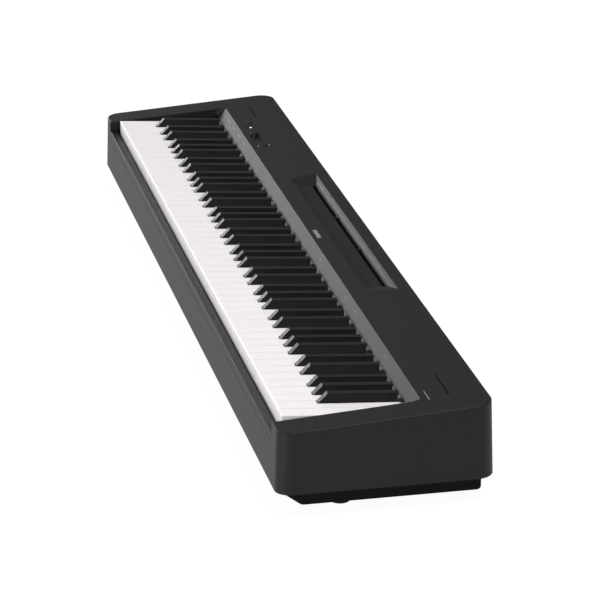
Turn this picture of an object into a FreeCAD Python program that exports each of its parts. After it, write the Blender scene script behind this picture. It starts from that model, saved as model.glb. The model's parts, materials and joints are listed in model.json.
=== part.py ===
"""A slim 88-key digital piano: case, weighted key action, controls, speakers and sockets.

Frame: X runs along the keyboard towards the treble end, Y runs from the player to the back,
Z is up. The origin is under the middle of the case, on the surface that the rubber feet stand on.
"""
import FreeCAD, Part
import math
import os
import re
import Sketcher

# Driving dimensions in millimetres (slopes are rise over run, angles are degrees).
SIZES = {
    # outer case
    "case_width": 1326.0, "case_depth": 268.0, "case_height": 129.0,
    "top_slope": 0.067, "wall_lean": 0.0306, "end_lean": 0.0175,
    "skirt_bottom": 34.2, "wall": 2.8, "front_corner": 19.0, "back_corner": 25.0,
    "top_edge_radius": 2.0, "inner_edge_radius": 1.2,
    # opening for the keys
    "well_half": 618.5, "well_floor": 97.0, "rail_half": 612.6, "rail_seat": 85.0,
    "strip_low_y": 36.5, "strip_low_z": 112.0, "strip_slope": 0.826, "strip_corner": 8.0,
    # bottom tray
    "plinth_half": 648.0, "plinth_front_top": -128.5, "plinth_front_low": -101.5,
    "plinth_back": 118.0, "plinth_bottom": 14.2, "tray_wall": 2.8, "flange_half": 658.2,
    "flange_reach": 130.6, "flange_low": 34.5, "flange_high": 37.2,
    # keys
    "key_pitch": 23.5, "key_gap": 0.8, "black_width": 10.2, "black_top_width": 8.8,
    "black_clear": 1.0, "key_front": -117.35, "key_front_top": 114.15, "key_slope": 0.0643,
    "head_back": -66.5, "key_back": 48.0, "key_skirt": 90.0, "key_underside": 87.0,
    "key_wall": 1.6, "key_roof": 2.8, "black_front": -64.9, "black_nose": -53.3,
    "black_rise": 12.2, "black_end": 33.0, "hub_width": 8.0, "hub_radius": 6.0,
    "pivot_y": 60.0, "pivot_z": 88.0, "shaft_radius": 2.0, "bore_radius": 2.05,
    "actuator_front": -60.0, "actuator_back": -56.5, "actuator_low": 59.4,
    "actuator_width": 5.0,
    # hammers
    "hammer_y": -33.0, "hammer_z": 50.0, "hammer_width": 7.0, "hammer_hub": 7.0,
    # music rest channel
    "rest_half": 251.0, "rest_front": 73.0, "rest_bend_y": 83.5, "rest_bend_z": 120.6,
    "rest_slot_front": 100.2, "rest_slot_back": 105.4, "rest_slot_top": 119.8,
    "rest_slot_low": 99.5, "rest_slot_half": 216.0, "rest_rise_y": 110.8, "rest_rise_z": 122.3,
    "rest_back": 113.3, "rest_tab_x": 68.5, "rest_tab_width": 4.0,
    # controls on the top panel
    "power_x": -524.0, "led_x": -501.5, "knob_x": -455.5, "function_x": -407.0,
    "button_y": 69.0, "led_y": 67.0, "knob_y": 63.8, "button_hole": 4.1, "button_radius": 3.8,
    "knob_radius": 7.3, "knob_height": 6.8, "knob_hole": 4.4,
    # sound slots, speakers
    "slot_inner": 550.0, "slot_outer": 612.0, "slot_y": 85.5, "slot_width": 1.7,
    "speaker_x": 540.0, "speaker_y": 92.5, "speaker_length": 108.0, "speaker_width": 42.0,
    # sockets in the back wall
    "socket_z": 64.0, "dc_x": -310.0, "usb_x": -270.0, "pedal_x": -230.0,
    "phones_x": -190.0, "phones_step": 22.0,
    # feet and fasteners
    "foot_radius": 12.8, "foot_top_radius": 14.0, "foot_front_x": 611.5, "foot_front_y": -47.0,
    "foot_back_x": 540.0, "foot_back_y": 48.0,
    "screw_radius": 1.5, "insert_x": 575.0, "insert_y": 30.0, "insert_radius": 3.0,
    "insert_outer": 5.0,
}
WHITE_KEYS = 52
WHITES_PER_OCTAVE = 7
BOARD_X = -461.0

doc = FreeCAD.newDocument("digital_piano")
sheet = doc.addObject("Spreadsheet::Sheet", "Sizes")
for row, (alias, number) in enumerate(SIZES.items(), start=1):
    sheet.set(f"A{row}", alias.replace("_", " "))
    sheet.set(f"B{row}", str(number))
    sheet.setAlias(f"B{row}", alias)
doc.recompute()
SUBPARTS = []


def size(alias):
    """One driving dimension, read back from the sheet."""
    return float(sheet.get(alias))


def bind(expression):
    """Turn the aliases in an expression into references to the sheet."""
    def reference(match):
        word = match.group(0)
        return "Sizes." + word if word in SIZES else word
    return re.sub(r"[a-z]\w*", reference, expression)


def top_height(y):
    """Height of the sloping top surface at y, as an expression."""
    return f"(case_height - top_slope * (case_depth / 2 - ({y})))"


def key_height(y):
    """Height of the white keys' playing surface at y, as an expression."""
    return f"(key_front_top - key_slope * (({y}) - key_front))"


def new_body(label):
    """An empty body that becomes the sub-part called label."""
    body = doc.addObject("PartDesign::Body", label)
    body.Label = label
    SUBPARTS.append(body)
    return body


def origin_plane(body, role):
    return next(item for item in body.Origin.OriginFeatures if item.Role == role)


def polygon(sketch, corners):
    """Close straight lines through corners, each corner bound to two expressions."""
    count = len(corners)
    start = sketch.GeometryCount
    ring = []
    for index in range(count):
        turn = 2 * math.pi * index / count
        ring.append(FreeCAD.Vector(10 * math.cos(turn), 10 * math.sin(turn), 0))
    for index in range(count):
        sketch.addGeometry(Part.LineSegment(ring[index], ring[(index + 1) % count]))
    for index in range(count):
        following = start + (index + 1) % count
        sketch.addConstraint(Sketcher.Constraint("Coincident", start + index, 2, following, 1))
    for index, (across, up) in enumerate(corners):
        for kind, value, expression in (("DistanceX", ring[index].x, across),
                                        ("DistanceY", ring[index].y, up)):
            constraint = Sketcher.Constraint(kind, -1, 1, start + index, 1, value)
            number = sketch.addConstraint(constraint)
            sketch.setExpression(f"Constraints[{number}]", bind(expression))


def circle(sketch, across, up, radius):
    """A circle bound to three expressions."""
    ring = sketch.addGeometry(Part.Circle(FreeCAD.Vector(1, 1, 0), FreeCAD.Vector(0, 0, 1), 1))
    for kind, value, expression in (("DistanceX", 1, across), ("DistanceY", 1, up)):
        number = sketch.addConstraint(Sketcher.Constraint(kind, -1, 1, ring, 3, value))
        sketch.setExpression(f"Constraints[{number}]", bind(expression))
    number = sketch.addConstraint(Sketcher.Constraint("Radius", ring, 1))
    sketch.setExpression(f"Constraints[{number}]", bind(radius))


def new_sketch(body, name, role, offset="0", loops=(), circles=()):
    """A sketch on one of the body's origin planes, moved along its normal by offset."""
    sketch = body.newObject("Sketcher::SketchObject", f"{body.Name}_{name}_sketch")
    sketch.AttachmentSupport = (origin_plane(body, role), [""])
    sketch.MapMode = "FlatFace"
    sketch.setExpression("AttachmentOffset.Base.z", bind(offset))
    for corners in loops:
        polygon(sketch, corners)
    for ring in circles:
        circle(sketch, *ring)
    return sketch


def extrude(kind, body, name, role, length, offset="0", loops=(), circles=()):
    """Pad or Pocket a sketch by length, half to each side of its plane."""
    sketch = new_sketch(body, name, role, offset, loops, circles)
    feature = body.newObject(f"PartDesign::{kind}", f"{body.Name}_{name}")
    feature.Profile = sketch
    feature.Midplane = True
    feature.setExpression("Length", bind(length))
    return feature


def pad(*args, **options):
    return extrude("Pad", *args, **options)


def pocket(*args, **options):
    """A pocket that is checked to remove material."""
    body = args[0]
    doc.recompute()
    before = body.Shape.Volume
    feature = extrude("Pocket", *args, **options)
    doc.recompute()
    if not body.Shape.Volume < before - 0.01:
        raise RuntimeError(f"{feature.Name} removes nothing")
    return feature


def revolve(body, name, corners):
    """Turn a half profile in the XZ plane about the body's Z axis."""
    sketch = new_sketch(body, name, "XZ_Plane", loops=[corners])
    feature = body.newObject("PartDesign::Revolution", f"{body.Name}_{name}")
    feature.Profile = sketch
    feature.ReferenceAxis = (sketch, ["V_Axis"])
    feature.Angle = 360
    return feature


def edge_names(shape, wanted):
    """Names of the edges for which wanted(edge) holds."""
    return [f"Edge{n}" for n, edge in enumerate(shape.Edges, start=1) if wanted(edge)]


def round_edges(body, name, radius, wanted):
    """Fillet the edges of the body's tip that wanted picks out."""
    doc.recompute()
    base = body.Tip
    names = edge_names(base.Shape, wanted)
    if not names:
        raise RuntimeError(f"{body.Name} {name}: no edge found")
    feature = body.newObject("PartDesign::Fillet", f"{body.Name}_{name}")
    feature.Base = (base, names)
    feature.setExpression("Radius", bind(radius))
    doc.recompute()
    return feature


def middle(edge):
    return edge.valueAt((edge.FirstParameter + edge.LastParameter) / 2)


def extent(edge):
    """Lengths of the edge's box along X, Y and Z."""
    box = edge.BoundBox
    return box.XLength, box.YLength, box.ZLength


def repeat_along_x(body, name, step, count):
    """Repeat the whole body along X."""
    doc.recompute()
    feature = body.newObject("PartDesign::LinearPattern", f"{body.Name}_{name}")
    feature.Originals = []
    feature.TransformMode = "Whole shape"
    feature.Direction = (origin_plane(body, "YZ_Plane"), [""])
    feature.Mode = "Spacing"
    feature.setExpression("Offset", bind(step))
    feature.Occurrences = count
    body.Tip = feature
    return feature


def new_box(label, low, high):
    """A rectangular piece between two corners given as expressions."""
    box = doc.addObject("Part::Box", label)
    box.Label = label
    for axis, prop, start, end in zip("xyz", ("Length", "Width", "Height"), low, high):
        box.setExpression(f"Placement.Base.{axis}", bind(start))
        box.setExpression(prop, bind(f"({end}) - ({start})"))
    return box


def new_group(label, members):
    """Separate solids of one kind, kept together as one sub-part."""
    group = doc.addObject("Part::Compound", label)
    group.Label = label
    group.Links = members
    SUBPARTS.append(group)
    return group


def panel_placement(x, y):
    """Where a control sits: on the sloping top surface, with its own Z along the surface normal."""
    height = size("case_height") - size("top_slope") * (size("case_depth") / 2 - y)
    tilt = math.degrees(math.atan(size("top_slope")))
    rotation = FreeCAD.Rotation(FreeCAD.Vector(1, 0, 0), tilt)
    return FreeCAD.Placement(FreeCAD.Vector(x, y, height), rotation)


def build_block_core(side, sign, roof):
    """The hollow inside one end block, as a body that is cut from the case."""
    body = doc.addObject("PartDesign::Body", f"{side}_block_core")
    front = "(-case_depth / 2 + wall)"
    back = "(case_depth / 2 - wall)"
    inner = "(well_half + wall)"
    outer = "(case_width / 2 - wall - 1.6)"
    front_shift = "wall_lean * (case_height - skirt_bottom - top_slope * case_depth)"
    back_shift = "wall_lean * (case_height - skirt_bottom)"
    pad(body, "hollow", "YZ_Plane", f"{outer} - {inner}", offset=f"{sign}({outer} + {inner}) / 2",
        loops=[[(front, "skirt_bottom"), (back, "skirt_bottom"),
                (f"{back} - {back_shift}", f"{top_height(back)} {roof}"),
                (f"{front} + {front_shift}", f"{top_height(front)} {roof}")]])
    limit = size("case_width") / 2 - 10

    def upright(edge):
        return extent(edge)[2] > 60 and abs(middle(edge).x) > limit
    round_edges(body, "front", "front_corner - wall", lambda e: upright(e) and middle(e).y < 0)
    round_edges(body, "back", "back_corner - wall",
                lambda e: upright(e) and middle(e).y > 0 and extent(e)[0] < 0.01)
    return body


def build_upper_case():
    """The moulded case: end blocks, control panel, fall strip, front and back walls in one shell."""
    body = new_body("upper_case")
    front = "-case_depth / 2"
    back = "case_depth / 2"
    front_top = f"{front} + wall_lean * (case_height - skirt_bottom - top_slope * case_depth)"
    back_top = f"{back} - wall_lean * (case_height - skirt_bottom)"
    pad(body, "block", "YZ_Plane", "case_width", loops=[[
        (front, "skirt_bottom"), (back, "skirt_bottom"), (back_top, top_height(back_top)),
        (front_top, top_height(front_top))]])
    lean_top = "case_height + 6"
    lean = f"end_lean * ({lean_top} - skirt_bottom)"
    wedges = []
    for side in ("", "-"):
        wedges.append([(f"{side}case_width / 2", "skirt_bottom"),
                       (f"{side}(case_width / 2 + 4)", "skirt_bottom"),
                       (f"{side}(case_width / 2 + 4)", lean_top),
                       (f"{side}(case_width / 2 - {lean})", lean_top)])
    pocket(body, "end_lean", "XZ_Plane", "case_depth * 2", loops=wedges)
    half = size("case_width") / 2

    def upright(edge):
        return extent(edge)[2] > 60
    round_edges(body, "front_corners", "front_corner",
                lambda e: upright(e) and middle(e).y < 0)
    round_edges(body, "back_corners", "back_corner",
                lambda e: upright(e) and middle(e).y > 0 and abs(middle(e).x) > half - 6
                and extent(e)[0] < 5)
    top_face = max(body.Tip.Shape.Faces, key=lambda face: face.CenterOfMass.z)
    rim = [edge.hashCode() for edge in top_face.Edges]
    round_edges(body, "top_edges", "top_edge_radius", lambda e: e.hashCode() in rim)

    inner_front = "(-case_depth / 2 + wall)"
    inner_back = "(case_depth / 2 - wall)"
    roof = "- wall"
    lip_y = "(strip_low_y + 1.66)"
    lip_z = "(strip_low_z - 2.0)"
    bend_y = (f"(({top_height('0')} - wall - {lip_z} + strip_slope * {lip_y})"
              " / (strip_slope - top_slope))")
    front_shift = "wall_lean * (well_floor - skirt_bottom)"
    back_shift = "wall_lean * (case_height - skirt_bottom)"
    pocket(body, "main_cavity", "YZ_Plane", "2 * well_half", loops=[[
        (inner_front, "skirt_bottom - 5"), (f"{inner_front} + {front_shift}", "well_floor"),
        (lip_y, "well_floor"), (lip_y, lip_z), (bend_y, f"{top_height(bend_y)} {roof}"),
        (f"{inner_back} - {back_shift}", f"{top_height(inner_back)} {roof}"),
        (inner_back, "skirt_bottom - 5")]])
    cores = [build_block_core(side, sign, roof) for side, sign in (("right", ""), ("left", "-"))]
    hollows = body.newObject("PartDesign::Boolean", "upper_case_block_hollows")
    hollows.Type = "Cut"
    hollows.setObjects(cores)
    pocket(body, "tray_clearance", "YZ_Plane", "2 * (well_half + 10)", loops=[[
        (f"{inner_front} + 0.1", "skirt_bottom - 5"), (f"{inner_front} + 0.1", "flange_high + 0.3"),
        (f"{inner_back} - 0.1", "flange_high + 0.3"), (f"{inner_back} - 0.1", "skirt_bottom - 5")]])
    pocket(body, "key_well", "YZ_Plane", "2 * well_half", loops=[[
        ("-case_depth", "well_floor"), ("-case_depth", "case_height + 20"),
        ("strip_low_y + 28 / strip_slope", "strip_low_z + 28"), ("strip_low_y", "strip_low_z"),
        (lip_y, lip_z), (lip_y, "well_floor")]])
    pocket(body, "rail_seat", "YZ_Plane", "2 * (rail_half + 0.6)", loops=[[
        ("-case_depth", "rail_seat"), ("-case_depth", "well_floor + 1"),
        ("-case_depth / 2 + 10", "well_floor + 1"), ("-case_depth / 2 + 10", "rail_seat")]])
    well = size("well_half")

    def strip_end(edge):
        box = extent(edge)
        return abs(abs(middle(edge).x) - well) < 0.1 and 8 < box[1] < 20 and 8 < box[2] < 20 \
            and middle(edge).z > size("strip_low_z")
    round_edges(body, "strip_corners", "strip_corner", strip_end)

    def well_rim(edge):
        point = middle(edge)
        surface = size("case_height") - size("top_slope") * (size("case_depth") / 2 - point.y)
        box = extent(edge)
        return abs(abs(point.x) - well) < 0.1 and abs(point.z - surface) < 0.05 and box[1] > 100
    round_edges(body, "well_rim", "inner_edge_radius", well_rim)
    build_rest_channel(body)
    build_panel_openings(body)
    build_back_openings(body)
    build_screw_bosses(body)
    return body


def build_rest_core():
    """The shallow channel of the music rest, with sloping ends, as a body cut from the case."""
    body = doc.addObject("PartDesign::Body", "rest_channel_core")
    pad(body, "hollow", "YZ_Plane", "2 * rest_half", loops=[[
        ("rest_front", top_height("rest_front")), ("rest_front", "case_height + 5"),
        ("rest_back", "case_height + 5"), ("rest_back", top_height("rest_back")),
        ("rest_rise_y", "rest_rise_z"), ("rest_slot_back", "rest_slot_top"),
        ("rest_slot_front", "rest_slot_top"), ("rest_bend_y", "rest_bend_z")]])
    ends = []
    for sign in ("", "-"):
        ends.append([(f"{sign}(rest_half + 5)", "rest_slot_top - 5"),
                     (f"{sign}(rest_half + 5)", "case_height - 1.6"),
                     (f"{sign}rest_half", "case_height - 1.6"),
                     (f"{sign}rest_slot_half", "rest_slot_top"),
                     (f"{sign}rest_slot_half", "rest_slot_top - 5")])
    pocket(body, "end_slopes", "XZ_Plane", "3 * rest_back", loops=ends)

    def along(edge, y, z):
        point = middle(edge)
        return (extent(edge)[0] > 300 and abs(point.y - size(y)) < 0.05
                and abs(point.z - size(z)) < 0.05)
    round_edges(body, "bend", "12", lambda e: along(e, "rest_bend_y", "rest_bend_z"))
    round_edges(body, "cove", "14", lambda e: along(e, "rest_rise_y", "rest_rise_z"))
    return body


def build_rest_channel(body):
    """The channel that holds the music rest: a shallow trough, three slots and a back slope."""
    pad(body, "rest_block", "YZ_Plane", "2 * (rest_half + wall)", loops=[[
        ("rest_front - 4", f"{top_height('rest_front - 4')} - 1"),
        ("rest_bend_y - 0.5", "rest_bend_z - wall"),
        ("rest_slot_front - wall", "rest_slot_top - wall"),
        ("rest_slot_front - wall", "rest_slot_low - wall"),
        ("rest_slot_back + wall", "rest_slot_low - wall"),
        ("rest_slot_back + wall", "rest_slot_top - wall + 0.8"),
        ("rest_rise_y + wall", "rest_rise_z - 2.2"),
        ("rest_back + wall + 0.6", f"{top_height('rest_back + wall + 0.6')} - 1")]])
    trough = body.newObject("PartDesign::Boolean", "upper_case_rest_trough")
    trough.Type = "Cut"
    trough.setObjects([build_rest_core()])
    for side, sign in (("right", ""), ("left", "-")):
        pad(body, f"rest_tab_{side}", "YZ_Plane", "rest_tab_width", offset=f"{sign}rest_tab_x",
            loops=[[("rest_slot_front - 1.4", "rest_slot_top - 1"),
                    ("rest_slot_front - 1.4", "rest_slot_top + 1.2"),
                    ("rest_slot_back + 0.9", "rest_slot_top + 1.2"),
                    ("rest_slot_back + 0.9", "rest_slot_top - 1")]])
    pocket(body, "rest_slots", "XY_Plane", "rest_slot_top - rest_slot_low + 2",
           offset="(rest_slot_top + rest_slot_low + 2) / 2",
           loops=[slot_outline("-rest_slot_half", "-rest_tab_x - rest_tab_width / 2"),
                  slot_outline("-rest_tab_x + rest_tab_width / 2",
                               "rest_tab_x - rest_tab_width / 2"),
                  slot_outline("rest_tab_x + rest_tab_width / 2", "rest_slot_half")])


def slot_outline(start, end):
    """Plan of one music rest slot between two X places."""
    return [(start, "rest_slot_front"), (end, "rest_slot_front"),
            (end, "rest_slot_back"), (start, "rest_slot_back")]


def build_panel_openings(body):
    """Sound slots at both ends and the round holes of the controls."""
    loops = []
    for sign in ("", "-"):
        low = "slot_y - slot_width / 2"
        high = "slot_y + slot_width / 2"
        loops.append([(f"{sign}slot_inner", low), (f"{sign}slot_outer", low),
                      (f"{sign}slot_outer", high), (f"{sign}slot_inner", high)])
    pocket(body, "sound_slots", "XY_Plane", "20", offset="case_height - 3", loops=loops)
    holes = (("power", "power_x", "button_y", "button_hole"),
             ("function", "function_x", "button_y", "button_hole"),
             ("led", "led_x", "led_y", "1.6"),
             ("knob", "knob_x", "knob_y", "knob_hole"))
    for name, across, along, radius in holes:
        place = panel_placement(size(across), size(along))
        tilted(body, "Pocket", f"{name}_hole", place, 0, 16, [("0", "0", radius)])
    board = panel_placement(BOARD_X, size("button_y"))
    posts = [(x, y, "2.6") for x in ("-66", "66") for y in ("-14", "16")]
    tilted(body, "Pad", "board_posts", board, -7.9, 11.6, posts)


def tilted(body, kind, name, place, lift, length, circles):
    """Pad or Pocket circles square to the sloping top surface."""
    doc.recompute()
    before = body.Shape.Volume
    sketch = body.newObject("Sketcher::SketchObject", f"{body.Name}_{name}_sketch")
    sketch.AttachmentSupport = (origin_plane(body, "XY_Plane"), [""])
    sketch.MapMode = "FlatFace"
    shift = FreeCAD.Placement(FreeCAD.Vector(0, 0, lift), FreeCAD.Rotation())
    sketch.AttachmentOffset = place.multiply(shift)
    for ring in circles:
        circle(sketch, *ring)
    feature = body.newObject(f"PartDesign::{kind}", f"{body.Name}_{name}")
    feature.Profile = sketch
    feature.Midplane = True
    feature.Length = length
    doc.recompute()
    if abs(body.Shape.Volume - before) < 0.1:
        raise RuntimeError(f"{name} changes nothing")


def build_back_openings(body):
    """Holes in the back wall for the sockets."""
    circles = [("dc_x", "socket_z", "5.6"), ("pedal_x", "socket_z", "6.2"),
               ("phones_x", "socket_z", "6.2"), ("phones_x + phones_step", "socket_z", "6.2")]
    usb = [("usb_x - 6.6", "socket_z - 6"), ("usb_x + 6.6", "socket_z - 6"),
           ("usb_x + 6.6", "socket_z + 6"), ("usb_x - 6.6", "socket_z + 6")]
    pocket(body, "socket_holes", "XZ_Plane", "12", offset="-(case_depth / 2 - 2)",
           loops=[usb], circles=circles)


SCREW_PLACES = [-600.0, -400.0, -200.0, 0.0, 200.0, 400.0, 600.0]


def build_screw_bosses(body):
    """Bosses inside the front and back walls, each with a blind pilot hole."""
    rows = ("-case_depth / 2 + 6.8", "case_depth / 2 - 6.8")
    bosses = [(str(x), y, "4.4") for x in SCREW_PLACES for y in rows]
    pilots = [(str(x), y, "screw_radius") for x in SCREW_PLACES for y in rows]
    pad(body, "bosses", "XY_Plane", "14", offset="flange_high + 7.6", circles=bosses)
    pocket(body, "pilots", "XY_Plane", "24", offset="flange_high", circles=pilots)


def build_front_rail():
    """The key slip: a rail across the front, below the key fronts, between the end blocks."""
    body = new_body("front_rail")
    face = "(-case_depth / 2 + wall_lean * (rail_seat - skirt_bottom))"
    face_top = "(-case_depth / 2 + wall_lean * (well_floor - skirt_bottom))"
    inner = "(key_front - 3.2)"
    pad(body, "rail", "YZ_Plane", "2 * rail_half", loops=[[
        (face, "rail_seat + 0.6"), (face_top, "well_floor"), (inner, "well_floor - 1.5"),
        (inner, "well_floor - 22"), (f"{inner} - 2.5", "well_floor - 22"),
        (f"{inner} - 2.5", "well_floor - 4.2"), (f"{face} + wall", "well_floor - 3"),
        (f"{face} + wall", "rail_seat + 0.6")]])
    round_edges(body, "crest", "1.4",
                lambda e: extent(e)[0] > 1000 and middle(e).z > size("well_floor") - 0.2)


def build_bottom_tray():
    """The base: a plinth tray with a chamfered front and a flange that closes the case."""
    body = new_body("bottom_tray")
    pad(body, "plinth", "YZ_Plane", "2 * plinth_half", loops=[[
        ("plinth_front_low", "plinth_bottom"), ("plinth_back", "plinth_bottom"),
        ("plinth_back", "flange_low + 0.5"), ("plinth_front_top", "flange_low + 0.5"),
        ("plinth_front_top", "skirt_bottom")]])
    low = size("plinth_bottom")

    def under(edge, y):
        point = middle(edge)
        return extent(edge)[0] > 600 and abs(point.z - low) < 0.1 and abs(point.y - size(y)) < 0.1
    round_edges(body, "plinth_back_edge", "5", lambda e: under(e, "plinth_back"))
    round_edges(body, "plinth_front_edge", "10", lambda e: under(e, "plinth_front_low"))
    pad(body, "flange", "XY_Plane", "flange_high - flange_low",
        offset="(flange_high + flange_low) / 2",
        loops=[[("-flange_half", "-flange_reach"), ("flange_half", "-flange_reach"),
                ("flange_half", "flange_reach"), ("-flange_half", "flange_reach")]])
    round_edges(body, "flange_front_corners", "front_corner - wall + 0.5",
                lambda e: extent(e)[2] > 2 and abs(middle(e).x) > 657 and middle(e).y < -120)
    round_edges(body, "flange_back_corners", "back_corner - wall + 0.5",
                lambda e: 2 < extent(e)[2] < 3 and extent(e)[0] < 1 and extent(e)[1] < 1
                and abs(middle(e).x) > 657 and middle(e).y > 100)
    pocket(body, "tray", "YZ_Plane", "2 * (plinth_half - tray_wall)", loops=[[
        ("plinth_front_low + 1.8", "plinth_bottom + tray_wall"),
        ("plinth_back - tray_wall", "plinth_bottom + tray_wall"),
        ("plinth_back - tray_wall", "flange_high + 5"),
        ("plinth_front_top + 5", "flange_high + 5"),
        ("plinth_front_top + 5", "skirt_bottom + 0.6")]])
    rows = ("-case_depth / 2 + 6.8", "case_depth / 2 - 6.8")
    screws = [(str(x), y, "screw_radius + 0.2") for x in SCREW_PLACES for y in rows]
    pocket(body, "screw_holes", "XY_Plane", "8", offset="flange_low + 1", circles=screws)
    pocket(body, "screw_seats", "XY_Plane", "7", offset="flange_low - 3.5",
           circles=[(str(x), rows[0], "3.1") for x in SCREW_PLACES])
    inserts = [(f"{a}insert_x", f"{b}insert_y", "insert_outer") for a in ("", "-")
               for b in ("", "-")]
    pad(body, "insert_bosses", "XY_Plane", "9", offset="plinth_bottom + 5",
        circles=[(x, y, "insert_outer + 2") for x, y, _ in inserts])
    pocket(body, "insert_seats", "XY_Plane", "24", offset="plinth_bottom", circles=inserts)
    standoffs = [(x, y, "3") for x in ("-240", "50") for y in ("85", "109")]
    pad(body, "standoffs", "XY_Plane", "4.4", offset="plinth_bottom + 4.6", circles=standoffs)
    pocket(body, "speaker_slits", "XY_Plane", "8", offset="plinth_bottom + 1",
           loops=speaker_slits())


def speaker_slits():
    """Slits through the tray floor below both speakers, shorter towards the ends of the oval."""
    half_length = size("speaker_length") / 2 - 8
    half_width = size("speaker_width") / 2 - 5
    loops = []
    for sign in (1, -1):
        for step in range(-7, 8):
            along = step * half_length / 7.5
            reach = half_width * math.sqrt(1 - (along / half_length) ** 2)
            x = sign * size("speaker_x") + along
            y = size("speaker_y")
            loops.append([(str(x - 1.2), str(y - reach)), (str(x + 1.2), str(y - reach)),
                          (str(x + 1.2), str(y + reach)), (str(x - 1.2), str(y + reach))])
    return loops


# Each black key's centre lies beside the boundary of two white keys, by this many millimetres.
BLACK_KEYS = {"c_sharp": (1, -2.8), "d_sharp": (2, 2.8), "f_sharp": (4, -3.8),
              "g_sharp": (5, 0.0), "a_sharp": (6, 3.8)}
# Black key to the left and to the right of each white key of an octave.
WHITE_NEIGHBOURS = {"c": (0, None, "c_sharp"), "d": (1, "c_sharp", "d_sharp"),
                    "e": (2, "d_sharp", None), "f": (3, None, "f_sharp"),
                    "g": (4, "f_sharp", "g_sharp"), "a": (5, "g_sharp", "a_sharp"),
                    "b": (6, "a_sharp", None)}
FIRST_WHITE_OF_C = 2


def white_left(index):
    """X of the left boundary of a white key, counted from the lowest key."""
    return (index - WHITE_KEYS / 2) * size("key_pitch")


def octave_start(place):
    """Index of the lowest white key at this place of the octave, counted from C."""
    index = FIRST_WHITE_OF_C + place
    while index >= WHITES_PER_OCTAVE:
        index -= WHITES_PER_OCTAVE
    return index


def key_count(place):
    return (WHITE_KEYS - 1 - octave_start(place)) // WHITES_PER_OCTAVE + 1


def white_key_layout(note):
    """Lowest key of this note: left edge, width, left and right cuts, and how many there are."""
    place, left_black, right_black = WHITE_NEIGHBOURS[note]
    index = octave_start(place)
    gap = size("key_gap") / 2
    left = white_left(index) + gap
    right = white_left(index + 1) - gap
    notch = size("black_width") / 2 + size("black_clear")
    tail_left = left
    tail_right = right
    if left_black:
        tail_left = white_left(index) + BLACK_KEYS[left_black][1] + notch
    if right_black:
        tail_right = white_left(index + 1) + BLACK_KEYS[right_black][1] - notch
    return left, right, tail_left, tail_right, key_count(place)


def black_key_layout(note):
    """Centre of the lowest black key of this note and how many there are."""
    place, shift = BLACK_KEYS[note]
    index = octave_start(place)
    if index == 0:
        index += WHITES_PER_OCTAVE
    last_boundary = WHITE_KEYS - 1
    count = (last_boundary - index) // WHITES_PER_OCTAVE + 1
    return white_left(index) + shift, count


def add_key_action(body, centre):
    """Hub with its bore at the back of a key, and the post that pushes the hammer."""
    hub_low = "pivot_z - 3.2"
    pad(body, "hub", "YZ_Plane", "hub_width", offset=str(centre), loops=[[
        ("key_back - 6", hub_low), ("pivot_y", hub_low), ("pivot_y", "pivot_z + 3.6"),
        ("key_back - 6", "pivot_z + 5")]])
    pad(body, "boss", "YZ_Plane", "hub_width", offset=str(centre),
        circles=[("pivot_y", "pivot_z", "hub_radius")])
    pad(body, "actuator", "YZ_Plane", "actuator_width", offset=str(centre), loops=[[
        ("actuator_front", "actuator_low"), ("actuator_back", "actuator_low"),
        ("actuator_back + 6", f"{key_height('actuator_back + 6')} - 1"),
        ("actuator_front - 4", f"{key_height('actuator_back + 6')} - 1")]])
    pocket(body, "bore", "YZ_Plane", "30", offset=str(centre),
           circles=[("pivot_y", "pivot_z", "bore_radius")])


def build_white_keys(note):
    """All white keys of one note: moulded, hollow, with cut-outs for the black keys."""
    left, right, tail_left, tail_right, count = white_key_layout(note)
    body = new_body(f"white_keys_{note}")
    middle_x = (left + right) / 2
    outline = [("key_front", "key_skirt"), ("key_front", key_height("key_front")),
               ("key_back", key_height("key_back")), ("key_back", "key_underside - 3"),
               ("head_back + 6", "key_underside - 1"), ("head_back", "key_skirt")]
    pad(body, "block", "YZ_Plane", str(right - left), offset=str(middle_x), loops=[outline])
    cuts = []
    for edge, tail in ((left, tail_left), (right, tail_right)):
        if abs(edge - tail) > 0.01:
            beyond = edge - 1 if edge < tail else edge + 1
            cuts.append([(str(tail), "head_back"), (str(tail), "key_back + 1"),
                         (str(beyond), "key_back + 1"), (str(beyond), "head_back")])
    pocket(body, "cut_outs", "XY_Plane", "400", loops=cuts)
    tail_middle = (tail_left + tail_right) / 2
    hollow_roof = "- key_roof"
    pocket(body, "tail_hollow", "YZ_Plane", f"{tail_right - tail_left} - 2 * key_wall",
           offset=str(tail_middle), loops=[[
               ("key_front + 2", "key_underside - 10"),
               ("key_front + 2", f"{key_height('key_front + 2')} {hollow_roof}"),
               ("key_back - 4", f"{key_height('key_back - 4')} {hollow_roof}"),
               ("key_back - 4", "key_underside - 10")]])
    pocket(body, "head_hollow", "YZ_Plane", f"{right - left} - 2 * key_wall",
           offset=str(middle_x), loops=[[
               ("key_front + 2", "key_underside - 10"),
               ("key_front + 2", f"{key_height('key_front + 2')} {hollow_roof}"),
               ("head_back - 2", f"{key_height('head_back - 2')} {hollow_roof}"),
               ("head_back - 2", "key_underside - 10")]])
    add_key_action(body, tail_middle)
    round_edges(body, "front_edge", "0.9",
                lambda e: extent(e)[0] > 20 and middle(e).y < size("key_front") + 0.1
                and middle(e).z > size("key_front_top") - 0.1)
    repeat_along_x(body, "octaves", f"{WHITES_PER_OCTAVE} * key_pitch", count)
    if note == "a":
        fill_cut_out(body, left, tail_left + 0.2)
    if note == "c":
        top = WHITES_PER_OCTAVE * size("key_pitch") * (count - 1)
        fill_cut_out(body, tail_right + top - 0.2, right + top)
    return tail_middle, count


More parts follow.
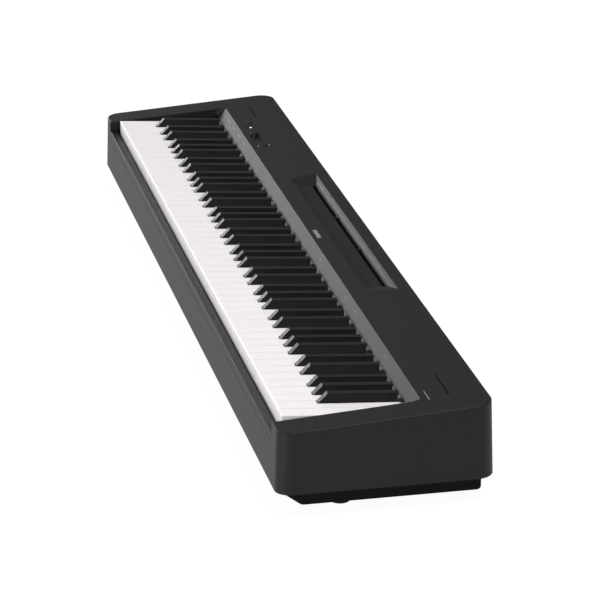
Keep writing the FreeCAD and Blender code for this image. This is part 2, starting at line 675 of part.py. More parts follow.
def fill_cut_out(body, start, end):
    """The outermost keys have no black key beside them, so their tails keep the full width."""
    pad(body, "full_tail", "YZ_Plane", str(end - start), offset=str((start + end) / 2),
        loops=[[("head_back - 0.5", key_height("head_back - 0.5")),
                ("key_back", key_height("key_back")), ("key_back", "key_underside - 3"),
                ("head_back + 6", "key_underside - 1"), ("head_back - 0.5", "key_skirt")]])


def build_black_keys(note):
    """All black keys of one note: sloping front, tapered sides, low tail under the fall strip."""
    centre, count = black_key_layout(note)
    body = new_body(f"black_keys_{note}")
    nose_z = f"{key_height('black_nose')} + black_rise"
    end_z = f"{key_height('black_end')} + black_rise - 0.6"
    pad(body, "block", "YZ_Plane", "black_width", offset=str(centre), loops=[[
        ("black_front", "key_underside"), ("black_front", key_height("black_front")),
        ("black_nose", nose_z), ("black_end", end_z),
        ("black_end", f"{key_height('black_end')} - 4"),
        ("key_back", f"{key_height('key_back')} - 4"), ("key_back", "key_underside - 3")]])
    taper_low = "(key_front_top - 10)"
    taper_high = "(key_front_top + 14)"
    taper = "(black_width - black_top_width) / 2"
    wedges = []
    for side in (1, -1):
        edge = f"({centre} + {side} * black_width / 2)"
        wedges.append([(edge, taper_low), (f"({edge} + {side} * 2)", taper_low),
                       (f"({edge} + {side} * 2)", taper_high),
                       (f"({edge} - {side} * {taper})", taper_high)])
    pocket(body, "taper", "XZ_Plane", "400", loops=wedges)
    pocket(body, "hollow", "YZ_Plane", "black_width - 2 * key_wall - 1", offset=str(centre),
           loops=[[("black_front + 3", "key_underside - 10"),
                   ("black_front + 3", f"{key_height('black_front + 3')} - 1"),
                   ("black_end - 4", f"{key_height('black_end - 4')} - 6"),
                   ("key_back - 4", f"{key_height('key_back - 4')} - 6"),
                   ("key_back - 4", "key_underside - 10")]])
    add_key_action(body, centre)
    repeat_along_x(body, "octaves", f"{WHITES_PER_OCTAVE} * key_pitch", count)
    return centre, count


def build_hammers(note, centre, count):
    """The weighted levers under one note's keys."""
    body = new_body(f"hammers_{note}")
    pad(body, "lever", "YZ_Plane", "hammer_width", offset=str(centre), loops=[[
        ("hammer_y - 30", "hammer_z + 2.5"), ("hammer_y - 30", "hammer_z + 8"),
        ("hammer_y - 8", "hammer_z + 7"), ("hammer_y + 8", "hammer_z + 5.5"),
        ("hammer_y + 60", "hammer_z - 8.5"), ("hammer_y + 64", "hammer_z - 8"),
        ("hammer_y + 104", "hammer_z - 13.5"), ("hammer_y + 104", "hammer_z - 25.5"),
        ("hammer_y + 64", "hammer_z - 20.5"), ("hammer_y + 60", "hammer_z - 15.5"),
        ("hammer_y + 5", "hammer_z - 5"), ("hammer_y - 8", "hammer_z - 4")]])
    pad(body, "hub", "YZ_Plane", "hammer_width", offset=str(centre),
        circles=[("hammer_y", "hammer_z", "hammer_hub")])
    pocket(body, "bore", "YZ_Plane", "30", offset=str(centre),
           circles=[("hammer_y", "hammer_z", "bore_radius")])
    repeat_along_x(body, "octaves", f"{WHITES_PER_OCTAVE} * key_pitch", count)


def build_chassis():
    """The action frame: a floor, a front wall and a rib between each B and C."""
    body = new_body("action_frame")
    half = "(well_half - 3.5)"
    floor = "(plinth_bottom + tray_wall + 0.2)"
    pad(body, "floor", "YZ_Plane", f"2 * {half}", loops=[[
        ("-92", floor), ("70", floor), ("70", f"{floor} + 2.8"), ("-89.4", f"{floor} + 2.8"),
        ("-89.4", "70"), ("-92", "70")]])
    ribs = [white_left(FIRST_WHITE_OF_C + WHITES_PER_OCTAVE * octave) for octave in range(8)]
    end = size("well_half") - 4.7
    for number, x in enumerate([-end] + ribs + [end]):
        pad(body, f"rib_{number}", "YZ_Plane", "2.4", offset=str(x), loops=[[
            ("-90", f"{floor} + 2"), ("-90", "40"), ("-64", "58"), ("-34", "60"), ("-30", "75.8"),
            ("50", "75.8"), ("54", "95.5"), ("68", "95.5"), ("70", "70"), ("70", f"{floor} + 2")]])
    pocket(body, "shaft_holes", "YZ_Plane", "2 * case_width",
           circles=[("pivot_y", "pivot_z", "bore_radius"), ("hammer_y", "hammer_z", "bore_radius")])
    pocket(body, "insert_holes", "XY_Plane", "8", offset=f"{floor} + 1",
           circles=[(f"{a}insert_x", f"{b}insert_y", "insert_outer + 2.4")
                    for a in ("", "-") for b in ("", "-")])
    pocket(body, "felt_windows", "YZ_Plane", "2 * case_width", loops=[
        [("35.8", "62.4"), ("58.4", "62.4"), ("58.4", "68.2"), ("35.8", "68.2")],
        [("45.8", "20"), ("57.6", "20"), ("57.6", "25.9"), ("45.8", "25.9")]])


def build_guide_rail():
    """The front bar with one guide post inside each white key."""
    body = new_body("key_guide_rail")
    first = white_left(0) + size("key_pitch") / 2
    pad(body, "post", "YZ_Plane", "12", offset=str(first), loops=[[
        ("-104", "75"), ("-96", "75"), ("-96", "98"), ("-104", "98")]])
    repeat_along_x(body, "posts", "key_pitch", WHITE_KEYS)
    pad(body, "bar", "YZ_Plane", "2 * (well_half - 3.5)", loops=[[
        ("-118.6", "70.2"), ("-89.4", "70.2"), ("-89.4", "76"), ("-118.6", "76")]])


def build_strips():
    """Long straight pieces of the action: felts, rails, boards and the two shafts."""
    half = "(well_half - 3.6)"
    strips = {
        "key_stop_felt": ("-118.2", "-111", "76", "78.8"),
        "hammer_rest_felt": ("46", "57.4", "20.1", "25.7"),
        "hammer_stop_rail": ("36", "58.2", "65.4", "68"),
        "hammer_stop_felt": ("36", "58.2", "62.6", "65.3"),
        "contact_board": ("-28", "12", "75.9", "77.5"),
        "contact_strip": ("-16", "-4", "77.6", "80.6"),
    }
    for label, (front, back, low, high) in strips.items():
        box = new_box(f"{label}_bar", (f"-{half}", front, low), (half, back, high))
        new_group(label, [box])
    for label, along, up in (("key_pivot_shaft", "pivot_y", "pivot_z"),
                             ("hammer_pivot_shaft", "hammer_y", "hammer_z")):
        rod = doc.addObject("Part::Cylinder", f"{label}_rod")
        rod.setExpression("Radius", bind("shaft_radius"))
        rod.setExpression("Height", bind("2 * (well_half - 1.5)"))
        rod.Placement.Rotation = FreeCAD.Rotation(FreeCAD.Vector(0, 1, 0), 90)
        rod.setExpression("Placement.Base.x", bind("-(well_half - 1.5)"))
        rod.setExpression("Placement.Base.y", bind(along))
        rod.setExpression("Placement.Base.z", bind(up))
        new_group(label, [rod])


def build_controls():
    """Two push buttons, the volume knob with its shaft and control, the lamp lens, their board."""
    for label, across in (("power_button", "power_x"), ("function_button", "function_x")):
        body = new_body(label)
        revolve(body, "cap", [("0", "-11.2"), ("1.6", "-11.2"), ("1.6", "-7"), ("5.6", "-7"),
                              ("5.6", "-5.6"), ("button_radius", "-5.6"),
                              ("button_radius", "0.9"), ("button_radius - 0.5", "1.4"),
                              ("0", "1.4")])
        body.Placement = panel_placement(size(across), size("button_y"))
    knob = new_body("volume_knob")
    revolve(knob, "cap", [("3.02", "0.6"), ("knob_radius", "0.6"),
                          ("knob_radius - 1.3", "knob_height - 0.6"),
                          ("knob_radius - 1.9", "knob_height"), ("0", "knob_height"),
                          ("0", "knob_height - 2"), ("3.02", "knob_height - 2")])
    pocket(knob, "pointer", "XZ_Plane", "knob_radius - 2.4",
           offset="-(knob_radius / 2 + 0.5)",
           loops=[[("-0.45", "knob_height - 0.5"), ("0.45", "knob_height - 0.5"),
                   ("0.45", "knob_height + 1"), ("-0.45", "knob_height + 1")]])
    knob.Placement = panel_placement(size("knob_x"), size("knob_y"))
    shaft = new_body("volume_shaft")
    revolve(shaft, "rod", [("0", "-8.8"), ("3", "-8.8"), ("3", "knob_height - 2.1"),
                           ("0", "knob_height - 2.1")])
    shaft.Placement = knob.Placement
    control = new_body("volume_control")
    revolve(control, "can", [("3.08", "-9"), ("9", "-9"), ("9", "-4.2"), ("4.1", "-4.2"),
                             ("4.1", "-0.4"), ("3.08", "-0.4")])
    pad(control, "base", "XY_Plane", "4.9", offset="-11.35",
        loops=[[("-9", "-9"), ("9", "-9"), ("9", "9"), ("-9", "9")]])
    control.Placement = knob.Placement
    lens = new_body("lamp_lens")
    revolve(lens, "lens", [("0", "-13.7"), ("1.5", "-13.7"), ("1.5", "0.1"), ("1.1", "0.45"),
                           ("0", "0.6")])
    lens.Placement = panel_placement(size("led_x"), size("led_y"))
    board = new_body("panel_board")
    pad(board, "board", "XY_Plane", "1.6", offset="-14.6",
        loops=[[("-72", "-20"), ("72", "-20"), ("72", "22"), ("-72", "22")]])
    board.Placement = panel_placement(BOARD_X, size("button_y"))
    switches = new_body("panel_switches")
    places = (size("power_x") - BOARD_X, size("function_x") - BOARD_X)
    pad(switches, "cases", "XY_Plane", "1.8", offset="-12.9",
        loops=[[(f"{x} - 3", "-3"), (f"{x} + 3", "-3"), (f"{x} + 3", "3"), (f"{x} - 3", "3")]
               for x in places])
    switches.Placement = board.Placement


def build_sockets():
    """Main board, socket board and the sockets that reach through the back wall."""
    for label, low, high in (
            ("main_board", ("-250", "80", "21.1"), ("60", "114", "22.7")),
            ("socket_board", ("dc_x - 20", "108", "socket_z - 16"),
             ("phones_x + phones_step + 16", "109.6", "socket_z + 16"))):
        new_group(label, [new_box(f"{label}_plate", low, high)])
    face = "(case_depth / 2 - wall_lean * (socket_z - skirt_bottom) - 0.3)"
    sockets = (("power_inlet", ["dc_x"], "5.4", "3.0"), ("pedal_socket", ["pedal_x"], "6", "3.2"),
               ("headphone_sockets", ["phones_x", "phones_x + phones_step"], "6", "3.2"))
    for label, places, barrel, bore in sockets:
        body = new_body(label)
        cans = [[(f"{x} - 8", "socket_z - 8"), (f"{x} + 8", "socket_z - 8"),
                 (f"{x} + 8", "socket_z + 8"), (f"{x} - 8", "socket_z + 8")] for x in places]
        pad(body, "can", "XZ_Plane", "16", offset="-117.8", loops=cans)
        pad(body, "barrel", "XZ_Plane", f"{face} - 120", offset=f"-({face} + 120) / 2",
            circles=[(x, "socket_z", barrel) for x in places])
        pocket(body, "bore", "XZ_Plane", f"{face} - 112 + 5", offset=f"-({face} + 112 + 5) / 2",
               circles=[(x, "socket_z", bore) for x in places])
    pin = new_body("power_inlet_pin")
    pad(pin, "pin", "XZ_Plane", f"{face} - 1.5 - 112.2", offset=f"-({face} - 1.5 + 112.2) / 2",
        circles=[("dc_x", "socket_z", "0.95")])
    usb = new_body("usb_socket")
    pad(usb, "shell", "XZ_Plane", f"{face} - 109.8", offset=f"-({face} + 109.8) / 2",
        loops=[[("usb_x - 6", "socket_z - 5.4"), ("usb_x + 6", "socket_z - 5.4"),
                ("usb_x + 6", "socket_z + 5.4"), ("usb_x - 6", "socket_z + 5.4")]])
    pocket(usb, "mouth", "XZ_Plane", f"{face} - 118 + 5", offset=f"-({face} + 118 + 5) / 2",
           loops=[[("usb_x - 4.2", "socket_z - 3.9"), ("usb_x + 4.2", "socket_z - 3.9"),
                   ("usb_x + 4.2", "socket_z + 2.4"), ("usb_x + 2.7", "socket_z + 3.9"),
                   ("usb_x - 2.7", "socket_z + 3.9"), ("usb_x - 4.2", "socket_z + 2.4")]])
    pad(usb, "tongue", "XZ_Plane", f"{face} - 117.5 - 1", offset=f"-({face} + 117.5 - 1) / 2",
        loops=[[("usb_x - 2.8", "socket_z - 1.5"), ("usb_x + 2.8", "socket_z - 1.5"),
                ("usb_x + 2.8", "socket_z + 1.5"), ("usb_x - 2.8", "socket_z + 1.5")]])


def oval(grow, centre_x):
    """A long oval face in the XY plane with straight sides, at a speaker's place."""
    length = size("speaker_length") / 2 + grow
    radius = size("speaker_width") / 2 + grow
    straight = length - radius
    y = size("speaker_y")
    corner = [FreeCAD.Vector(centre_x + a * straight, y + b * radius, 0)
              for a, b in ((-1, -1), (1, -1), (1, 1), (-1, 1))]
    tip_right = FreeCAD.Vector(centre_x + length, y, 0)
    tip_left = FreeCAD.Vector(centre_x - length, y, 0)
    edges = [Part.LineSegment(corner[0], corner[1]).toShape(),
             Part.Arc(corner[1], tip_right, corner[2]).toShape(),
             Part.LineSegment(corner[2], corner[3]).toShape(),
             Part.Arc(corner[3], tip_left, corner[0]).toShape()]
    return Part.Face(Part.Wire(edges))


def raised(face, low, high):
    """Extrude a face in the XY plane from one height to another."""
    solid = face.extrude(FreeCAD.Vector(0, 0, high - low))
    solid.translate(FreeCAD.Vector(0, 0, low))
    return solid


def new_feature(label, solids):
    """A sub-part whose shape is set from solids worked out in code."""
    feature = doc.addObject("Part::Feature", label)
    feature.Label = label
    feature.Shape = Part.makeCompound(solids)
    feature.Placement = FreeCAD.Placement()
    SUBPARTS.append(feature)


def build_speakers():
    """Oval speakers that fire down: frame, cone and magnet at each end."""
    floor = size("plinth_bottom") + size("tray_wall") + 0.2
    frames = []
    cones = []
    magnets = []
    for side in (1, -1):
        x = side * size("speaker_x")
        ring = raised(oval(0, x), floor, floor + 4).cut(raised(oval(-5, x), floor - 1, floor + 5))
        basket = raised(oval(-7, x), floor + 4, floor + 20)
        basket = basket.cut(raised(oval(-9, x), floor + 3, floor + 18))
        rim = raised(oval(-3, x), floor + 4, floor + 6)
        rim = rim.cut(raised(oval(-9, x), floor + 3, floor + 7))
        frames.append(ring.fuse([rim, basket]).removeSplitter())
        cones.append(raised(oval(-5.6, x), floor + 1, floor + 1.8))
        yoke = Part.makeCylinder(15, 9, FreeCAD.Vector(x, size("speaker_y"), floor + 20.1))
        magnets.append(yoke)
    new_feature("speaker_frames", frames)
    new_feature("speaker_cones", cones)
    new_feature("speaker_magnets", magnets)


def build_feet_and_fasteners():
    """Rubber feet, threaded inserts for a stand, and the case screws."""
    feet = []
    inserts = []
    screws = []
    low = size("plinth_bottom")
    for sign_x in (1, -1):
        for x, y in ((size("foot_front_x"), size("foot_front_y")),
                     (size("foot_back_x"), size("foot_back_y"))):
            foot = Part.makeCone(size("foot_radius"), size("foot_top_radius"), low - 0.05,
                                 FreeCAD.Vector(sign_x * x, y, 0))
            bottom = [edge for edge in foot.Edges if edge.BoundBox.ZMax < 0.1]
            feet.append(foot.makeFillet(1.6, bottom))
        for sign_y in (1, -1):
            place = FreeCAD.Vector(sign_x * size("insert_x"), sign_y * size("insert_y"), low + 0.4)
            outer = Part.makeCylinder(size("insert_outer") - 0.02, 8.6, place)
            inserts.append(outer.cut(Part.makeCylinder(size("insert_radius"), 8.6, place)))
    new_feature("rubber_feet", feet)
    new_feature("stand_inserts", inserts)
    rows = (-size("case_depth") / 2 + 6.8, size("case_depth") / 2 - 6.8)
    seat = size("flange_low")
    for x in SCREW_PLACES:
        for y in rows:
            head = Part.makeCylinder(2.9, 1.8, FreeCAD.Vector(x, y, seat - 1.85))
            socket = Part.makeBox(3.2, 0.8, 0.9, FreeCAD.Vector(x - 1.6, y - 0.4, seat - 1.9))
            cross = Part.makeBox(0.8, 3.2, 0.9, FreeCAD.Vector(x - 0.4, y - 1.6, seat - 1.9))
            shank = Part.makeCylinder(size("screw_radius") - 0.03, 12,
                                      FreeCAD.Vector(x, y, seat - 0.05))
            screws.append(head.cut(socket.fuse(cross)).fuse(shank))
    new_feature("case_screws", screws)


def main():
    build_upper_case()
    build_front_rail()
    build_bottom_tray()
    for note in WHITE_NEIGHBOURS:
        centre, count = build_white_keys(note)
        build_hammers(note, centre, count)
    for note in BLACK_KEYS:
        centre, count = build_black_keys(note)
        build_hammers(note, centre, count)
    build_chassis()
    build_guide_rail()
    build_strips()
    build_controls()
    build_sockets()
    build_speakers()
    build_feet_and_fasteners()
    doc.recompute()
    for item in doc.Objects:
        if "Invalid" in item.State or "Error" in item.State:
            raise RuntimeError(f"{item.Name} failed: {item.State}")
    os.makedirs("parts", exist_ok=True)
    for part in SUBPARTS:
        if part.Shape.isNull() or not part.Shape.isValid():
            raise RuntimeError(f"{part.Label} has no valid shape")
        part.Shape.exportStep(f"parts/{part.Label}.step")
        print(f"{part.Label}: {len(part.Shape.Solids)} solids, {part.Shape.Volume / 1000:.1f} cm3")
    print(len(SUBPARTS), "sub-parts")


main()
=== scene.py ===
"""Looks of the slim digital piano: materials, softened edges, printed marks, light and camera."""
import json
import math
import bmesh
import bpy
from mathutils import Matrix, Vector


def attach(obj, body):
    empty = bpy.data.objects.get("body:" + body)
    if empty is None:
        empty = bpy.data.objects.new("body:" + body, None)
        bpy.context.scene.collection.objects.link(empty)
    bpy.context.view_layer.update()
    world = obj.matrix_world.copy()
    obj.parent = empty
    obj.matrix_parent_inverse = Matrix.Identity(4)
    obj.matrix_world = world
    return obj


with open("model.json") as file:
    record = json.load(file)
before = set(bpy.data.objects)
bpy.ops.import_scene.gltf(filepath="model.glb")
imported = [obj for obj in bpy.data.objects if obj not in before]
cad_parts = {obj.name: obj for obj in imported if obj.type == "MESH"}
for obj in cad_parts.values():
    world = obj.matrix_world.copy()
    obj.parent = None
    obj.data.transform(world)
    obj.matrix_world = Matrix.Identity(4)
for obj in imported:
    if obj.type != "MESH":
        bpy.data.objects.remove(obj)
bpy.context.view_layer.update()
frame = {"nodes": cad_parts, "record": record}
nodes = frame["nodes"]


MM = 0.001
CASE = "upper_case"
BLACK_PLASTIC = (0.008, 0.008, 0.0084)
DRIFT_CELLS = 9.0     # slow colour drift, in cells per metre
PATCH_CELLS = 60.0    # patches of gloss, in cells per metre
PRINT_LIFT = 0.04 * MM
STRIP_Y = 0.0445      # the row of small labels just behind the keys


# ---------------------------------------------------------------- node helpers

def new_material(name):
    """A new material, its node tree and its Principled shader."""
    material = bpy.data.materials.new(name)
    material.use_nodes = True
    tree = material.node_tree
    return material, tree, tree.nodes["Principled BSDF"]


def add(tree, kind, values=None, **settings):
    """Add a node, set its attributes and the input values given by name."""
    node = tree.nodes.new(kind)
    for key, value in settings.items():
        setattr(node, key, value)
    for key, value in (values or {}).items():
        node.inputs[key].default_value = value
    return node


def noise(tree, place, scale, detail=3.0, roughness=0.55):
    """Noise in object space; scale is in cells per metre."""
    node = add(tree, "ShaderNodeTexNoise",
               {"Scale": scale, "Detail": detail, "Roughness": roughness})
    tree.links.new(place, node.inputs["Vector"])
    return node.outputs["Fac"]


def ramp(tree, value, low, high, dark, light):
    """Map the range from low to high onto the range from dark to light."""
    node = add(tree, "ShaderNodeMapRange",
               {"From Min": low, "From Max": high, "To Min": dark, "To Max": light})
    tree.links.new(value, node.inputs["Value"])
    return node.outputs["Result"]


def tint(tree, value, first, second):
    """Mix two colours by a value."""
    node = add(tree, "ShaderNodeMix", data_type="RGBA")
    tree.links.new(value, node.inputs["Factor"])
    node.inputs["A"].default_value = (*first, 1.0)
    node.inputs["B"].default_value = (*second, 1.0)
    return node.outputs["Result"]


def bump(tree, height, distance, strength):
    """A normal that follows a height, at most distance metres deep."""
    node = add(tree, "ShaderNodeBump", {"Strength": strength, "Distance": distance})
    tree.links.new(height, node.inputs["Height"])
    return node.outputs["Normal"]


def grained(name, colour, rough, cell_mm, depth_mm, drift=0.08, gloss_drift=0.05, specular=0.5,
            metallic=0.0):
    """Moulded or coated stuff: fine grain, slow colour drift and uneven gloss."""
    material, tree, shader = new_material(name)
    place = add(tree, "ShaderNodeTexCoord").outputs["Object"]
    slow = noise(tree, place, DRIFT_CELLS, 2.0)
    darker = tuple(channel * (1 - drift) for channel in colour)
    lighter = tuple(channel * (1 + drift) for channel in colour)
    blend = ramp(tree, slow, 0.3, 0.7, 0.0, 1.0)
    tree.links.new(tint(tree, blend, darker, lighter), shader.inputs["Base Color"])
    grain = noise(tree, place, 1.0 / (cell_mm * MM), 2.0)
    patchy = noise(tree, place, PATCH_CELLS, 4.0)
    gloss = ramp(tree, patchy, 0.3, 0.7, rough - gloss_drift, rough + gloss_drift)
    tree.links.new(gloss, shader.inputs["Roughness"])
    tree.links.new(bump(tree, grain, depth_mm * MM, 0.35), shader.inputs["Normal"])
    shader.inputs["Specular IOR Level"].default_value = specular
    shader.inputs["Metallic"].default_value = metallic
    return material


# ---------------------------------------------------------------- materials

def make_materials():
    """One material for each slot in the record, and two inks for the printed marks."""
    shell = {"drift": 0.03, "gloss_drift": 0.01, "specular": 0.22}
    steel = {"metallic": 1.0}
    finishes = {   # colour, roughness, grain in mm, grain depth in mm, other settings
        "case_shell": (BLACK_PLASTIC, 0.54, 0.45, 0.008, shell),
        "rail_plastic": (BLACK_PLASTIC, 0.54, 0.45, 0.008, shell),
        "base_plastic": ((0.003, 0.003, 0.0032), 0.55, 0.6, 0.02, {"specular": 0.08}),
        "white_key": ((0.83, 0.797, 0.797), 0.34, 0.6, 0.003, {"drift": 0.008}),
        "black_key": (BLACK_PLASTIC, 0.48, 0.35, 0.006, {"specular": 0.2}),
        "hammer_steel": ((0.42, 0.42, 0.43), 0.4, 0.8, 0.01, steel),
        "shaft_steel": ((0.58, 0.58, 0.6), 0.25, 0.5, 0.004, steel),
        "frame_plastic": ((0.05, 0.05, 0.052), 0.5, 0.7, 0.02, {}),
        "felt": ((0.045, 0.04, 0.04), 0.95, 0.5, 0.15, {"drift": 0.2, "specular": 0.1}),
        "circuit_board": ((0.02, 0.10, 0.05), 0.35, 1.2, 0.01, {}),
        "rubber": ((0.008, 0.008, 0.008), 0.8, 0.5, 0.03, {"specular": 0.1}),
        "control_plastic": ((0.006, 0.006, 0.0063), 0.45, 0.3, 0.006, {"specular": 0.2}),
        "lamp": ((0.55, 0.6, 0.55), 0.15, 1.0, 0.002, {}),
        "socket_plastic": ((0.012, 0.012, 0.012), 0.3, 0.8, 0.005, {}),
        "plated_metal": ((0.6, 0.6, 0.6), 0.22, 0.8, 0.004, steel),
        "speaker_metal": ((0.02, 0.02, 0.02), 0.5, 0.6, 0.02, {}),
        "speaker_paper": ((0.03, 0.03, 0.03), 0.9, 0.6, 0.08, {"specular": 0.2}),
        "screw_steel": ((0.03, 0.03, 0.032), 0.35, 0.4, 0.008, steel),
        "brass": ((0.55, 0.38, 0.14), 0.3, 0.5, 0.006, steel),
        "print": ((0.30, 0.30, 0.30), 0.5, 0.3, 0.002, {}),
        "print_faint": ((0.10, 0.10, 0.10), 0.5, 0.3, 0.002, {"specular": 0.3}),
    }
    made = {name: grained(name, *values, **settings)
            for name, (*values, settings) in finishes.items()}
    ivory = made["white_key"].node_tree.nodes["Principled BSDF"]
    ivory.inputs["Subsurface Weight"].default_value = 0.35
    ivory.inputs["Subsurface Radius"].default_value = (1.0, 0.9, 0.85)
    ivory.inputs["Subsurface Scale"].default_value = 2.0 * MM
    glow = made["lamp"].node_tree.nodes["Principled BSDF"]
    glow.inputs["Emission Color"].default_value = (0.95, 1.0, 0.95, 1.0)
    glow.inputs["Emission Strength"].default_value = 1.2
    return made


materials = make_materials()


def paint(piece, slot):
    """Give a piece one material."""
    piece.data.materials.clear()
    piece.data.materials.append(materials[slot])


def soften(piece, width, segments=3, angle=40.0):
    """Round a CAD node's edges with a modifier, which leaves its mesh as it is."""
    bevel = piece.modifiers.new("soft_edges", "BEVEL")
    bevel.width = width
    bevel.segments = segments
    bevel.limit_method = "ANGLE"
    bevel.angle_limit = math.radians(angle)
    bevel.harden_normals = False
    bevel.use_clamp_overlap = True


def dress_nodes():
    """Materials for every CAD node, and soft edges on the keys, feet, tray and rail."""
    for entry in frame["record"]["subparts"]:
        paint(nodes[entry["node"]], entry["material_slot"])
    for name, piece in nodes.items():
        if name.startswith("white_keys"):
            soften(piece, 0.25 * MM)
        elif name.startswith("black_keys"):
            soften(piece, 0.7 * MM)
        elif name in ("rubber_feet", "bottom_tray", "front_rail"):
            soften(piece, 0.4 * MM, 2)


# ---------------------------------------------------------------- printed marks

def surface(x, y):
    """Point and normal of the case's surface straight below a place."""
    hit, point, normal, _ = nodes[CASE].ray_cast(Vector((x, y, 1.0)), Vector((0.0, 0.0, -1.0)))
    if not hit:
        raise RuntimeError("no case surface below a mark")
    return point, normal


def printed(name, x, y, outlines, ink="print"):
    """Flat print on the case: outlines are lists of (across, along) places in metres."""
    point, normal = surface(x, y)
    across = Vector((1.0, 0.0, 0.0))
    along = normal.cross(across).normalized()
    mesh = bmesh.new()
    for outline in outlines:
        mesh.faces.new([mesh.verts.new(point + across * u + along * v + normal * PRINT_LIFT)
                        for u, v in outline])
    data = bpy.data.meshes.new(name)
    mesh.to_mesh(data)
    mesh.free()
    piece = bpy.data.objects.new(name, data)
    bpy.context.scene.collection.objects.link(piece)
    data.materials.append(materials[ink])
    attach(piece, "case")


def bar(u, v, width, height):
    """A small rectangle centred at (u, v)."""
    half_w = width / 2
    half_h = height / 2
    return [(u - half_w, v - half_h), (u + half_w, v - half_h),
            (u + half_w, v + half_h), (u - half_w, v + half_h)]


def word(width, height, letters):
    """A row of small upright bars that stands in for a printed label."""
    step = width / letters
    return [bar(-width / 2 + step * (index + 0.5), 0.0, step * 0.62, height)
            for index in range(letters)]


def ticks(centre_u, radius, length, width, count, sweep):
    """Short bars on an arc about (centre_u, 0), like the marks round a knob."""
    outlines = []
    for step in range(count):
        turn = math.radians(90 + sweep / 2 - sweep * step / (count - 1))
        out = Vector((math.cos(turn), math.sin(turn)))
        side = Vector((-out.y, out.x)) * (width / 2)
        near = Vector((centre_u, 0.0)) + out * radius
        far = near + out * length
        corners = (near - side, far - side, far + side, near + side)
        outlines.append([tuple(corner) for corner in corners])
    return outlines


def make_marks():
    """Generic prints where the instrument has labels."""
    printed("label_power", -0.532, 0.0660, word(5.0 * MM, 1.6 * MM, 4), "print_faint")
    printed("ticks_volume", -0.4695, 0.0638,
            ticks(14.0 * MM, 9.6 * MM, 1.8 * MM, 0.8 * MM, 11, 300.0), "print_faint")
    printed("label_volume", -0.4375, 0.0745, word(6.0 * MM, 1.2 * MM, 5), "print_faint")
    printed("label_function", -0.4075, 0.0765, word(7.5 * MM, 1.5 * MM, 6))
    printed("label_function_hint", -0.4085, 0.0600, word(5.0 * MM, 1.8 * MM, 4))
    printed("mark_middle", 0.004, 0.0590, word(34.0 * MM, 5.6 * MM, 6))
    printed("mark_right", 0.6065, 0.0598, [bar(0.0, 0.0, 28.0 * MM, 0.8 * MM)])
    for number, (x, width, letters) in enumerate(
            ((-0.560, 18.0, 9), (-0.520, 20.0, 10), (-0.480, 18.0, 9), (-0.445, 16.0, 8),
             (0.094, 12.0, 6), (0.246, 10.0, 5), (0.297, 10.0, 5), (0.458, 10.0, 5))):
        printed(f"label_strip_{number}", x, STRIP_Y, word(width * MM, 1.2 * MM, letters),
                "print_faint")


# ---------------------------------------------------------------- stage, light and camera

def plane_mesh(name, corners):
    """A flat four-sided piece."""
    data = bpy.data.meshes.new(name)
    data.from_pydata([Vector(corner) for corner in corners], [], [(0, 1, 2, 3)])
    piece = bpy.data.objects.new(name, data)
    bpy.context.scene.collection.objects.link(piece)
    return piece


def make_stage():
    """A plain pale floor, lit from within like a light table, so that shadows stay faint."""
    reach = 12.0
    floor = plane_mesh("floor", [(-reach, -reach, 0), (reach, -reach, 0), (reach, reach, 0),
                                 (-reach, reach, 0)])
    material, tree, shader = new_material("stage_white")
    place = add(tree, "ShaderNodeTexCoord").outputs["Object"]
    cloud = noise(tree, place, 0.8, 2.0)
    tree.links.new(tint(tree, cloud, (0.08, 0.08, 0.08), (0.09, 0.09, 0.09)),
                   shader.inputs["Base Color"])
    shader.inputs["Emission Color"].default_value = (1.0, 1.0, 1.0, 1.0)
    shader.inputs["Emission Strength"].default_value = 0.955
    shader.inputs["Roughness"].default_value = 0.9
    shader.inputs["Specular IOR Level"].default_value = 0.0
    floor.data.materials.append(material)


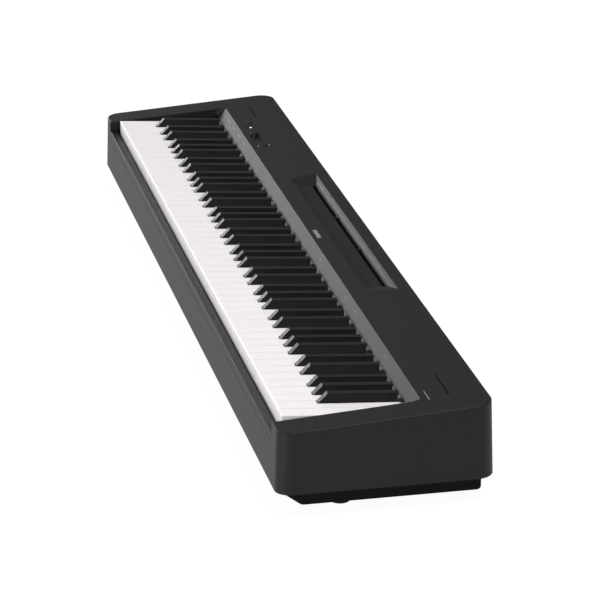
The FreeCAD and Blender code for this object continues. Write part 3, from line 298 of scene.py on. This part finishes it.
def add_light(name, position, target, width, height, power):
    """A soft rectangular lamp that looks at target."""
    data = bpy.data.lights.new(name, "AREA")
    data.shape = "RECTANGLE"
    data.size = width
    data.size_y = height
    data.energy = power
    lamp = bpy.data.objects.new(name, data)
    bpy.context.scene.collection.objects.link(lamp)
    lamp.location = position
    aim = Vector(target) - Vector(position)
    lamp.rotation_euler = aim.to_track_quat("-Z", "Y").to_euler()


def make_light():
    """A dim surround and soft lamps: above, high behind the treble end, low beyond the bass
    end, in front, and low in front of the treble corner."""
    world = bpy.data.worlds.new("surround")
    world.use_nodes = True
    background = world.node_tree.nodes["Background"]
    background.inputs["Color"].default_value = (1.0, 1.0, 1.0, 1.0)
    background.inputs["Strength"].default_value = 0.22
    bpy.context.scene.world = world
    add_light("overhead", (0.3, 0.3, 3.0), (0.1, 0.1, 0.0), 3.5, 2.5, 20.0)
    add_light("edge", (2.7, 1.2, 5.6), (0.3, 0.0, 0.1), 1.6, 1.6, 260.0)
    add_light("bass_end", (-3.4, -1.3, 0.9), (0.0, 0.0, 0.1), 1.6, 1.0, 57.0)
    add_light("front", (0.0, -2.6, 2.1), (0.0, 0.0, 0.1), 2.6, 1.0, 24.0)
    add_light("corner", (2.0, -2.7, 0.4), (0.6, 0.0, 0.1), 1.0, 0.6, 44.0)
    bpy.context.scene.view_settings.view_transform = "Standard"


def make_camera():
    """The camera stands beyond the treble end, a little to the front and above."""
    yaw = math.radians(12.153)
    pitch = math.radians(20.296)
    distance = 4.2256
    aim = Vector((-0.0004, 0.0361, 0.0275))
    forward = Vector((-math.cos(yaw) * math.cos(pitch), math.sin(yaw) * math.cos(pitch),
                      -math.sin(pitch)))
    right = Vector((math.sin(yaw), math.cos(yaw), 0.0))
    up = right.cross(forward)
    data = bpy.data.cameras.new("camera")
    data.sensor_width = 36.0
    data.lens = 183.06
    data.clip_end = 60.0
    camera = bpy.data.objects.new("camera", data)
    bpy.context.scene.collection.objects.link(camera)
    turn = Matrix((right, up, -forward)).transposed().to_4x4()
    camera.matrix_world = Matrix.Translation(aim - forward * distance) @ turn
    bpy.context.scene.camera = camera


dress_nodes()
make_marks()
make_stage()
make_light()
make_camera()
